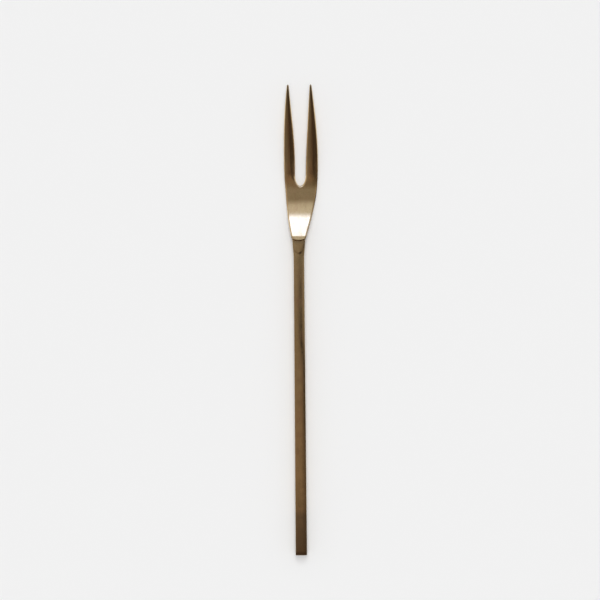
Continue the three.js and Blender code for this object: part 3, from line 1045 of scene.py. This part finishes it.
def brass(name, finish, polished, tarnish, roughness, scratch_scale):
    """Aged, polished brass. A piece may carry an edge_wear attribute and an attribute of painted
    shade.
    """
    material = bpy.data.materials.new(name)
    material.use_nodes = True
    tree = material.node_tree
    shader = tree.nodes["Principled BSDF"]
    coords = add_node(tree, "ShaderNodeTexCoord").outputs["Object"]
    wear = add_node(tree, "ShaderNodeAttribute", attribute_name="edge_wear").outputs["Fac"]
    # Where painted shade is laid on
    shade_amount = add_node(tree, "ShaderNodeAttribute", attribute_name="painted_shade").outputs["Fac"]

    def effect(group_name, make, inputs):
        node = add_node(tree, "ShaderNodeGroup", node_tree=shared_group(group_name, make))
        for key, value in {"Vector": coords, **inputs}.items():
            feed(tree, node.inputs[key], value)
        return {socket.name: Field(tree, socket) for socket in node.outputs}

    depths = {
        "Line depth": finish.line_depth / BUMP_UNIT,
        "Wave depth": finish.wave_depth / BUMP_UNIT,
    }
    polish = effect("fork_polish_lines", polish_lines_group, depths)
    colours = {
        "Polished": rgba(polished),
        "Tarnished": rgba(finish.tarnished),
        "Flushed": rgba(finish.flushed),
        "Shade colour": rgba(finish.painted_shade),
        "Worn": rgba(finish.worn),
        "Tarnish": tarnish,
        "Age": shade_amount,
        "Wear": wear,
    }
    patina = effect("fork_patina", patina_group, colours)
    scratches = effect("fork_scratches", scratch_group, {"Scale": scratch_scale})["Scratches"]
    rough_levels = (roughness - LINE_ROUGHNESS, roughness + LINE_ROUGHNESS)
    rough = ramp(tree, polish["Lines"], *NOISE_LEVELS, *rough_levels)
    rough = rough + patina["Tarnish"] * FILM_ROUGHNESS + scratches * SCRATCH_ROUGHNESS
    height = polish["Height"] - scratches * SCRATCH_DEPTH
    bump = add_node(
        tree, "ShaderNodeBump", {"Strength": 1.0, "Distance": BUMP_UNIT, "Height": height}
    )
    feed(tree, shader.inputs["Base Color"], patina["Color"])
    feed(tree, shader.inputs["Roughness"], rough)
    feed(tree, shader.inputs["Normal"], bump.outputs[0])
    shader.inputs["Metallic"].default_value = 1.0
    return material


# Pieces


def settle(name, mesh, node):
    """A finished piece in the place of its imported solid."""
    piece = bpy.data.objects.new(name, mesh)
    bpy.context.scene.collection.objects.link(piece)
    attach(piece, "root")
    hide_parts(node)
    return piece


class FORK_OT_head(bpy.types.Operator):
    """Make the forked head with its palm, tines and tail"""

    bl_idname = "fork.make_head"
    bl_label = "Make Head"

    def execute(self, context):
        fork = context.scene.fruit_fork
        finish = fork.finish
        mesh = head_mesh(ForkShape(fork))
        shade(mesh)
        material = brass(
            "head_brass",
            finish,
            finish.polished,
            finish.tarnish,
            finish.roughness,
            finish.head_scratches,
        )
        mesh.materials.append(material)
        settle("head", mesh, "fork_head")
        return {"FINISHED"}


class FORK_OT_handle(bpy.types.Operator):
    """Make the square handle bar with its scarf seat and tongue"""

    bl_idname = "fork.make_handle"
    bl_label = "Make Handle Bar"

    def execute(self, context):
        fork = context.scene.fruit_fork
        finish = fork.finish
        material = brass(
            "handle_brass",
            finish,
            finish.polished,
            finish.tarnish,
            finish.roughness,
            finish.bar_scratches,
        )
        mesh = bar_mesh(ForkShape(fork), material)
        settle("handle", mesh, "handle_bar")
        return {"FINISHED"}


class FORK_OT_braze(bpy.types.Operator):
    """Make the bead of braze along the seam"""

    bl_idname = "fork.make_braze"
    bl_label = "Make Braze Bead"

    def execute(self, context):
        fork = context.scene.fruit_fork
        finish = fork.finish
        material = brass(
            "braze_filler",
            finish,
            finish.filler,
            finish.filler_tarnish,
            finish.filler_roughness,
            finish.filler_scratches,
        )
        mesh = bead_mesh(ForkShape(fork), material)
        settle("braze", mesh, "braze_joint")
        return {"FINISHED"}


# Stage


LAMP_ROW = (("behind", -1), ("above", 0), ("ahead", 1))
NEAREST_SEEN = 0.01
TABLE_GAP = 2e-5
TABLE_GRAIN_STRENGTH = 0.15
TABLE_ROUGHNESS = 0.9

# The room by direction, as the parts of a unit vector across, ahead and up. Each pair runs from
# where a thing starts to show to where it shows in full, or from one share to the other
CEILING_BEHIND = (-0.02, -0.1)
BEHIND_EDGE = (-0.127, -0.145)
WALL_EDGE = (-0.02, 0.24)
BEAM_NEAR, BEAM_FAR = (0.035, 0.06), (0.13, 0.09)
LEFT_EDGE, LEFT_LIT = (-0.09, -0.32), (-0.09, -0.03)
STRIP_PLACE, STRIP_EDGE = 0.077, (0.037, 0.019)
STRIP_FAR, STRIP_NEAR = (0.026, 0.01), (-0.092, -0.072)
RIGHT_EDGE, RIGHT_AHEAD, RIGHT_BEHIND = (0.03, 0.11), (-0.1, 0.0), (-0.2, -0.14)
GLOW_EDGE, GLOW_NEAR, GLOW_FAR = (0.12, 0.17), (-0.04, 0.0), (0.065, 0.04)
SKIRTING_EDGE = (0.6, 0.95)
WINDOW_FOOT, WINDOW_HEAD, WINDOW_SIDES = (0.32, 0.49), (0.6, 0.5), (0.34, 0.2)
FLOOR_EDGE = (0.35, 0.1)
CURTAIN_EDGE, CURTAIN_NEAR, CURTAIN_TOP = (0.5, 0.75), (0.04, 0.14), (0.54, 0.36)

# How much each covers what is behind it
BEAM_SHARE = 0.2
LEFT_SHARE = 0.8
RIGHT_SHARES = (0.85, 0.25)
RIGHT_BEHIND_SHARES = (0.65, 1.0)
GLOW_SHARE = 0.7
SKIRTING_SHARE = 0.75
FLOOR_SHARE = 0.3


def table_material(stage):
    material = bpy.data.materials.new("pale_table")
    material.use_nodes = True
    tree = material.node_tree
    shader = tree.nodes["Principled BSDF"]
    coords = add_node(tree, "ShaderNodeTexCoord").outputs["Object"]
    relief = {
        "Strength": TABLE_GRAIN_STRENGTH,
        "Distance": BUMP_UNIT,
        "Height": noise(tree, coords, TABLE_GRAIN, 3.0),
    }
    bump = add_node(tree, "ShaderNodeBump", relief)
    feed(tree, shader.inputs["Normal"], bump.outputs[0])
    shader.inputs["Base Color"].default_value = rgba(stage.table)
    shader.inputs["Roughness"].default_value = TABLE_ROUGHNESS
    shader.inputs["Specular IOR Level"].default_value = 0.0
    return material


def make_table(stage):
    reach = stage.table_size / 2
    signs = ((-1, -1), (1, -1), (1, 1), (-1, 1))
    corners = [(reach * x, reach * y, -TABLE_GAP) for x, y in signs]
    mesh = bpy.data.meshes.new("table")
    mesh.from_pydata(corners, [], [(0, 1, 2, 3)])
    mesh.materials.append(table_material(stage))
    table = bpy.data.objects.new("table", mesh)
    bpy.context.scene.collection.objects.link(table)


def make_lamps(stage):
    """A row of soft overhead lamps along the fork, which leaves no shadow at its sides."""
    light = bpy.data.lights.new("overhead_lamp", "SUN")
    light.energy = stage.lamp_strength / len(LAMP_ROW)
    light.color = stage.lamp_colour
    light.angle = stage.lamp_spread
    for name, place in LAMP_ROW:
        lamp = bpy.data.objects.new(f"lamp_{name}", light)
        lamp.rotation_euler.x = -stage.lamp_lean - stage.lamp_pitch * place
        lamp.visible_glossy = False
        lamp.visible_camera = False
        bpy.context.scene.collection.objects.link(lamp)


def room_colour(tree, room, direction):
    """The room by direction, painted one thing over another."""
    parts = add_node(tree, "ShaderNodeSeparateXYZ", {0: direction})
    across, ahead, up = (Field(tree, socket) for socket in parts.outputs)
    aside = calc(tree, "ABSOLUTE", across)
    off_strip = calc(tree, "ABSOLUTE", across - STRIP_PLACE)

    def where(value, edge):
        return smooth_ramp(tree, value, *edge)

    def over(below, cover, tone):
        return blend_colour(tree, cover, below, tone)

    beam = where(ahead, BEAM_NEAR) * where(ahead, BEAM_FAR) * BEAM_SHARE
    left = ramp(tree, across, *LEFT_EDGE) * LEFT_SHARE
    left_tone = over(rgba(room.left_behind), where(ahead, LEFT_LIT), rgba(room.left))
    strip = where(off_strip, STRIP_EDGE) * where(ahead, STRIP_FAR) * where(ahead, STRIP_NEAR)
    right = where(across, RIGHT_EDGE) * ramp(tree, ahead, *RIGHT_AHEAD, *RIGHT_SHARES)
    right = right * ramp(tree, ahead, *RIGHT_BEHIND, *RIGHT_BEHIND_SHARES)
    glow = where(across, GLOW_EDGE) * where(ahead, GLOW_NEAR) * where(ahead, GLOW_FAR)
    window = where(ahead, WINDOW_FOOT) * where(ahead, WINDOW_HEAD) * where(aside, WINDOW_SIDES)
    curtain = where(aside, CURTAIN_EDGE) * where(ahead, CURTAIN_NEAR) * where(up, CURTAIN_TOP)

    colour = rgba(room.ceiling)
    for cover, tone in (
        (where(ahead, CEILING_BEHIND), rgba(room.ceiling_behind)),
        (where(ahead, BEHIND_EDGE), rgba(room.behind)),
        (where(ahead, WALL_EDGE), rgba(room.wall)),
        (beam, rgba(room.behind)),
        (left, left_tone),
        (strip, rgba(room.strip)),
        (right, rgba(room.right)),
        (glow * GLOW_SHARE, rgba(room.glow)),
        (where(ahead, SKIRTING_EDGE) * SKIRTING_SHARE, rgba(room.floor)),
        (window, rgba(room.pane)),
        (where(up, FLOOR_EDGE) * FLOOR_SHARE, rgba(room.floor)),
        (curtain, rgba(room.curtain)),
    ):
        colour = over(colour, cover, tone)
    return colour


def make_room(stage, room):
    """The metal mirrors the room, the dome lights the table, the camera sees the backdrop."""
    world = bpy.data.worlds.new("studio_room")
    world.use_nodes = True
    tree = world.node_tree
    tree.nodes.clear()
    direction = add_node(tree, "ShaderNodeTexCoord").outputs["Generated"]
    rays = add_node(tree, "ShaderNodeLightPath").outputs

    def light(colour):
        return add_node(tree, "ShaderNodeBackground", {"Color": colour}).outputs[0]

    def either(ray, plain, special):
        return add_node(tree, "ShaderNodeMixShader", {0: ray, 1: plain, 2: special}).outputs[0]

    mirrored = light(room_colour(tree, room, direction))
    lit = either(rays["Is Glossy Ray"], light(rgba(stage.dome)), mirrored)
    seen = either(rays["Is Camera Ray"], lit, light(rgba(stage.backdrop)))
    add_node(tree, "ShaderNodeOutputWorld", {"Surface": seen})
    bpy.context.scene.world = world


def make_camera(stage):
    lens = bpy.data.cameras.new("camera")
    lens.lens = stage.lens
    lens.clip_start = NEAREST_SEEN
    distance = stage.picture_width * stage.lens / lens.sensor_width
    camera = bpy.data.objects.new("camera", lens)
    camera.location = (stage.centre_x, stage.centre_y, stage.aim_height + distance)
    camera.rotation_euler = (0, 0, stage.camera_turn)
    bpy.context.scene.collection.objects.link(camera)
    bpy.context.scene.camera = camera


class FORK_OT_stage(bpy.types.Operator):
    """Make the table, the light, the surroundings and the camera"""

    bl_idname = "fork.make_stage"
    bl_label = "Make Stage"

    def execute(self, context):
        fork = context.scene.fruit_fork
        make_camera(fork.stage)
        make_table(fork.stage)
        make_lamps(fork.stage)
        make_room(fork.stage, fork.room)
        context.scene.view_settings.view_transform = "Standard"
        return {"FINISHED"}


# Panel and registration


class FORK_PT_panel(bpy.types.Panel):
    """Sizes, finishes and pieces of the fruit fork"""

    bl_idname = "FORK_PT_panel"
    bl_label = "Fruit Fork"
    bl_space_type = "VIEW_3D"
    bl_region_type = "UI"
    bl_category = "Fruit Fork"

    def draw(self, context):
        fork = context.scene.fruit_fork
        for operator, groups in (
            (FORK_OT_head, (fork.finish, fork.head)),
            (FORK_OT_handle, (fork.handle,)),
            (FORK_OT_braze, (fork.braze,)),
            (FORK_OT_stage, (fork.stage, fork.room)),
        ):
            box = self.layout.box()
            for group in groups:
                for name in group.bl_rna.properties.keys():
                    if name not in ("rna_type", "name"):
                        box.prop(group, name)
            box.operator(operator.bl_idname)


CLASSES = (
    FORK_PG_head,
    FORK_PG_handle,
    FORK_PG_braze,
    FORK_PG_finish,
    FORK_PG_stage,
    FORK_PG_room,
    FORK_PG_fork,
    FORK_OT_head,
    FORK_OT_handle,
    FORK_OT_braze,
    FORK_OT_stage,
    FORK_PT_panel,
)


def register():
    for cls in CLASSES:
        bpy.utils.register_class(cls)
    bpy.types.Scene.fruit_fork = PointerProperty(type=FORK_PG_fork)


def unregister():
    del bpy.types.Scene.fruit_fork
    for cls in reversed(CLASSES):
        bpy.utils.unregister_class(cls)


def main():
    register()
    bpy.ops.fork.make_stage()
    bpy.ops.fork.make_head()
    bpy.ops.fork.make_handle()
    bpy.ops.fork.make_braze()


if __name__ == "__main__":
    main()
